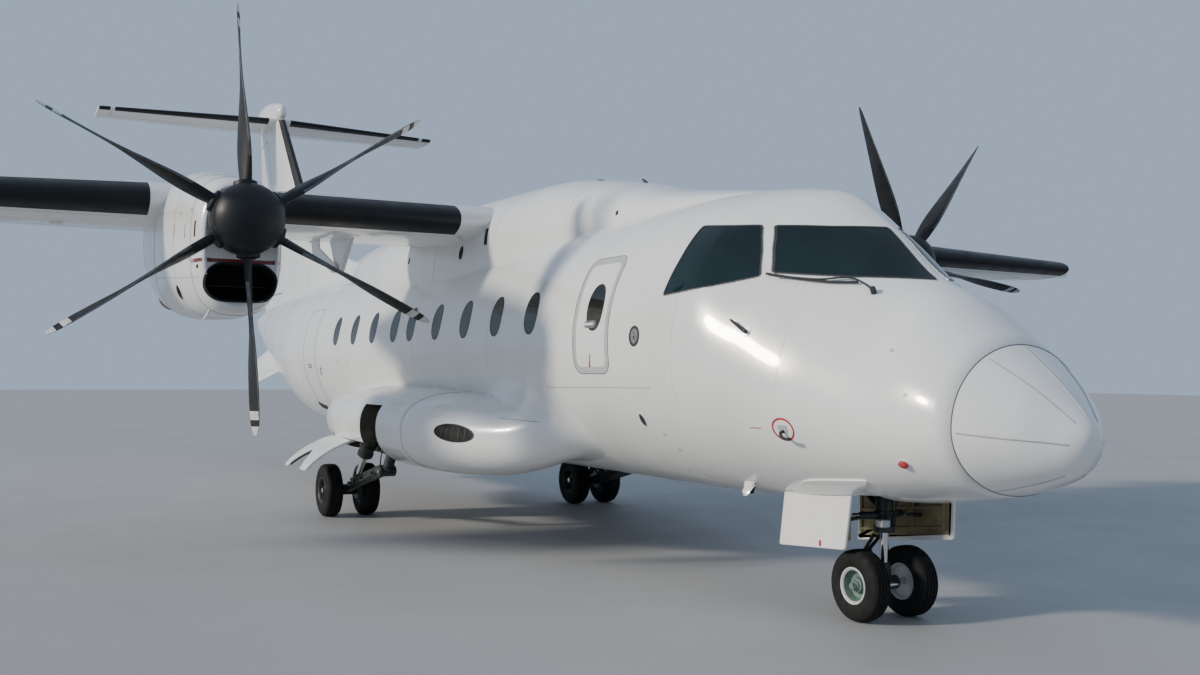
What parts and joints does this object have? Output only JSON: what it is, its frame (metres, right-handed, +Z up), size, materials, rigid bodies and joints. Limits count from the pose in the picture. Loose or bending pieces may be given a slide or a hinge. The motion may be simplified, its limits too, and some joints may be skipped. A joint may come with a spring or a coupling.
{
  "type": "turboprop airliner",
  "caption": "Twin-engine, high-wing, T-tail turboprop airliner parked on its gear, with turning propellers and wheels, flaps, control surfaces and opening doors.",
  "frame": {"origin": "on the ground below the middle of the overall length, on the centre plane", "axes": "+X to the nose, +Y to port, +Z up; wheels stand on Z = 0"},
  "size_m": [21.28, 20.98, 7.2337],
  "materials": {
    "white": "glossy white paint",
    "boot": "smooth black rubber",
    "propeller": "matte black composite with two white tip bands",
    "glass": "dark tinted glazing",
    "tyre": "black rubber round a white painted rim",
    "gear": "grey-green satin paint with bare steel parts",
    "exhaust": "heat-stained metal"
  },
  "bodies": {
    "airframe": {"radome": "white", "wing": "white", "tailplane": "white", "tail_bullet": "white", "fin": "white", "fuselage": "white", "service_door": "white", "rear_exit": "white", "wing_fairing": "white", "nacelle_left": "white", "nacelle_right": "white", "gear_pod_left": "white", "gear_pod_right": "white", "main_gear_door_left": "white", "main_gear_door_right": "white", "nose_gear_door_left": "white", "nose_gear_door_right": "white", "strake_left": "white", "strake_right": "white", "wing_boot_inner_left": "boot", "wing_boot_inner_right": "boot", "wing_boot_outer_left": "boot", "wing_boot_outer_right": "boot", "tailplane_boot_left": "boot", "tailplane_boot_right": "boot", "fin_boot": "boot", "windshield_left": "glass", "windshield_right": "glass", "side_window_left": "glass", "side_window_right": "glass", "main_leg_left": "gear", "main_leg_right": "gear", "nose_leg": "gear", "exhaust_left": "exhaust", "exhaust_right": "exhaust"},
    "aileron_left": {"aileron_left": "white"},
    "aileron_right": {"aileron_right": "white"},
    "flap_inner_left": {"flap_inner_left": "white"},
    "flap_inner_right": {"flap_inner_right": "white"},
    "flap_outer_left": {"flap_outer_left": "white"},
    "flap_outer_right": {"flap_outer_right": "white"},
    "elevator_left": {"elevator_left": "white"},
    "elevator_right": {"elevator_right": "white"},
    "rudder": {"rudder": "white"},
    "passenger_door": {"passenger_door": "white"},
    "baggage_door": {"baggage_door": "white"},
    "propeller_left": {"propeller_left": "propeller", "spinner_left": "propeller"},
    "propeller_right": {"propeller_right": "propeller", "spinner_right": "propeller"},
    "main_wheels_left": {"main_wheel_inner_left": "tyre", "main_wheel_outer_left": "tyre"},
    "main_wheels_right": {"main_wheel_inner_right": "tyre", "main_wheel_outer_right": "tyre"},
    "nose_fork": {"nose_fork": "gear"},
    "nose_wheels": {"nose_wheel_left": "tyre", "nose_wheel_right": "tyre"}
  },
  "joints": [
    {"name": "nose_steering", "type": "hinge", "parent": "airframe", "child": "nose_fork", "pos_m": [8.884, 0, 0.5], "axis": [0, 0, 1], "range_deg": [-60, 60]},
    {"name": "nose_wheel_roll", "type": "hinge", "parent": "nose_fork", "child": "nose_wheels", "pos_m": [8.884, 0, 0.2475], "axis": [0, 1, 0], "continuous": true},
    {"name": "main_wheel_roll_left", "type": "hinge", "parent": "airframe", "child": "main_wheels_left", "pos_m": [1.46, 1.61, 0.305], "axis": [0, 1, 0], "continuous": true},
    {"name": "main_wheel_roll_right", "type": "hinge", "parent": "airframe", "child": "main_wheels_right", "pos_m": [1.46, -1.61, 0.305], "axis": [0, 1, 0], "continuous": true},
    {"name": "propeller_spin_left", "type": "hinge", "parent": "airframe", "child": "propeller_left", "pos_m": [5.185, 3.61, 2.95], "axis": [1, 0, 0], "continuous": true},
    {"name": "propeller_spin_right", "type": "hinge", "parent": "airframe", "child": "propeller_right", "pos_m": [5.185, -3.61, 2.95], "axis": [1, 0, 0], "continuous": true},
    {"name": "aileron_left_hinge", "type": "hinge", "parent": "airframe", "child": "aileron_left", "pos_m": [2.14977, 6.56, 3.23212], "axis": [0.0327, 0.9994, -0.0111], "range_deg": [-22, 22]},
    {"name": "aileron_right_hinge", "type": "hinge", "parent": "airframe", "child": "aileron_right", "pos_m": [2.14977, -6.56, 3.23212], "axis": [-0.0327, 0.9994, 0.0111], "range_deg": [-22, 22]},
    {"name": "elevator_left_hinge", "type": "hinge", "parent": "airframe", "child": "elevator_left", "pos_m": [-9.77739, 0.23, 6.69078], "axis": [0.0009, 1, -0.0037], "range_deg": [-20, 25]},
    {"name": "elevator_right_hinge", "type": "hinge", "parent": "airframe", "child": "elevator_right", "pos_m": [-9.77739, -0.23, 6.69078], "axis": [-0.0009, 1, 0.0037], "range_deg": [-20, 25]},
    {"name": "rudder_hinge", "type": "hinge", "parent": "airframe", "child": "rudder", "pos_m": [-8.11348, 0, 3.21], "axis": [-0.4432, 0, 0.8964], "range_deg": [-25, 25]},
    {"name": "flap_inner_left_hinge", "type": "hinge", "parent": "airframe", "child": "flap_inner_left", "pos_m": [2.72, 2.1, 2.785], "axis": [0, -1, 0], "range_deg": [0, 30]},
    {"name": "flap_inner_right_hinge", "type": "hinge", "parent": "airframe", "child": "flap_inner_right", "pos_m": [2.72, -2.1, 2.785], "axis": [0, -1, 0], "range_deg": [0, 30]},
    {"name": "flap_outer_left_hinge", "type": "hinge", "parent": "airframe", "child": "flap_outer_left", "pos_m": [2.72, 5.44, 2.785], "axis": [0, -1, 0], "range_deg": [0, 30]},
    {"name": "flap_outer_right_hinge", "type": "hinge", "parent": "airframe", "child": "flap_outer_right", "pos_m": [2.72, -5.44, 2.785], "axis": [0, -1, 0], "range_deg": [0, 30]},
    {"name": "passenger_door_hinge", "type": "hinge", "parent": "airframe", "child": "passenger_door", "pos_m": [7.11, 0.95961, 1.203], "axis": [-1, 0, 0], "range_deg": [0, 115]},
    {"name": "baggage_door_hinge", "type": "hinge", "parent": "airframe", "child": "baggage_door", "pos_m": [-1.92, 0.87549, 2.822], "axis": [1, 0, 0], "range_deg": [0, 100]}
  ],
  "couplings": [
    {"joint": "aileron_right_hinge", "follows": "aileron_left_hinge", "ratio": -1},
    {"joint": "elevator_right_hinge", "follows": "elevator_left_hinge", "ratio": 1},
    {"joint": "flap_inner_right_hinge", "follows": "flap_inner_left_hinge", "ratio": 1},
    {"joint": "flap_outer_left_hinge", "follows": "flap_inner_left_hinge", "ratio": 1},
    {"joint": "flap_outer_right_hinge", "follows": "flap_inner_left_hinge", "ratio": 1}
  ]
}
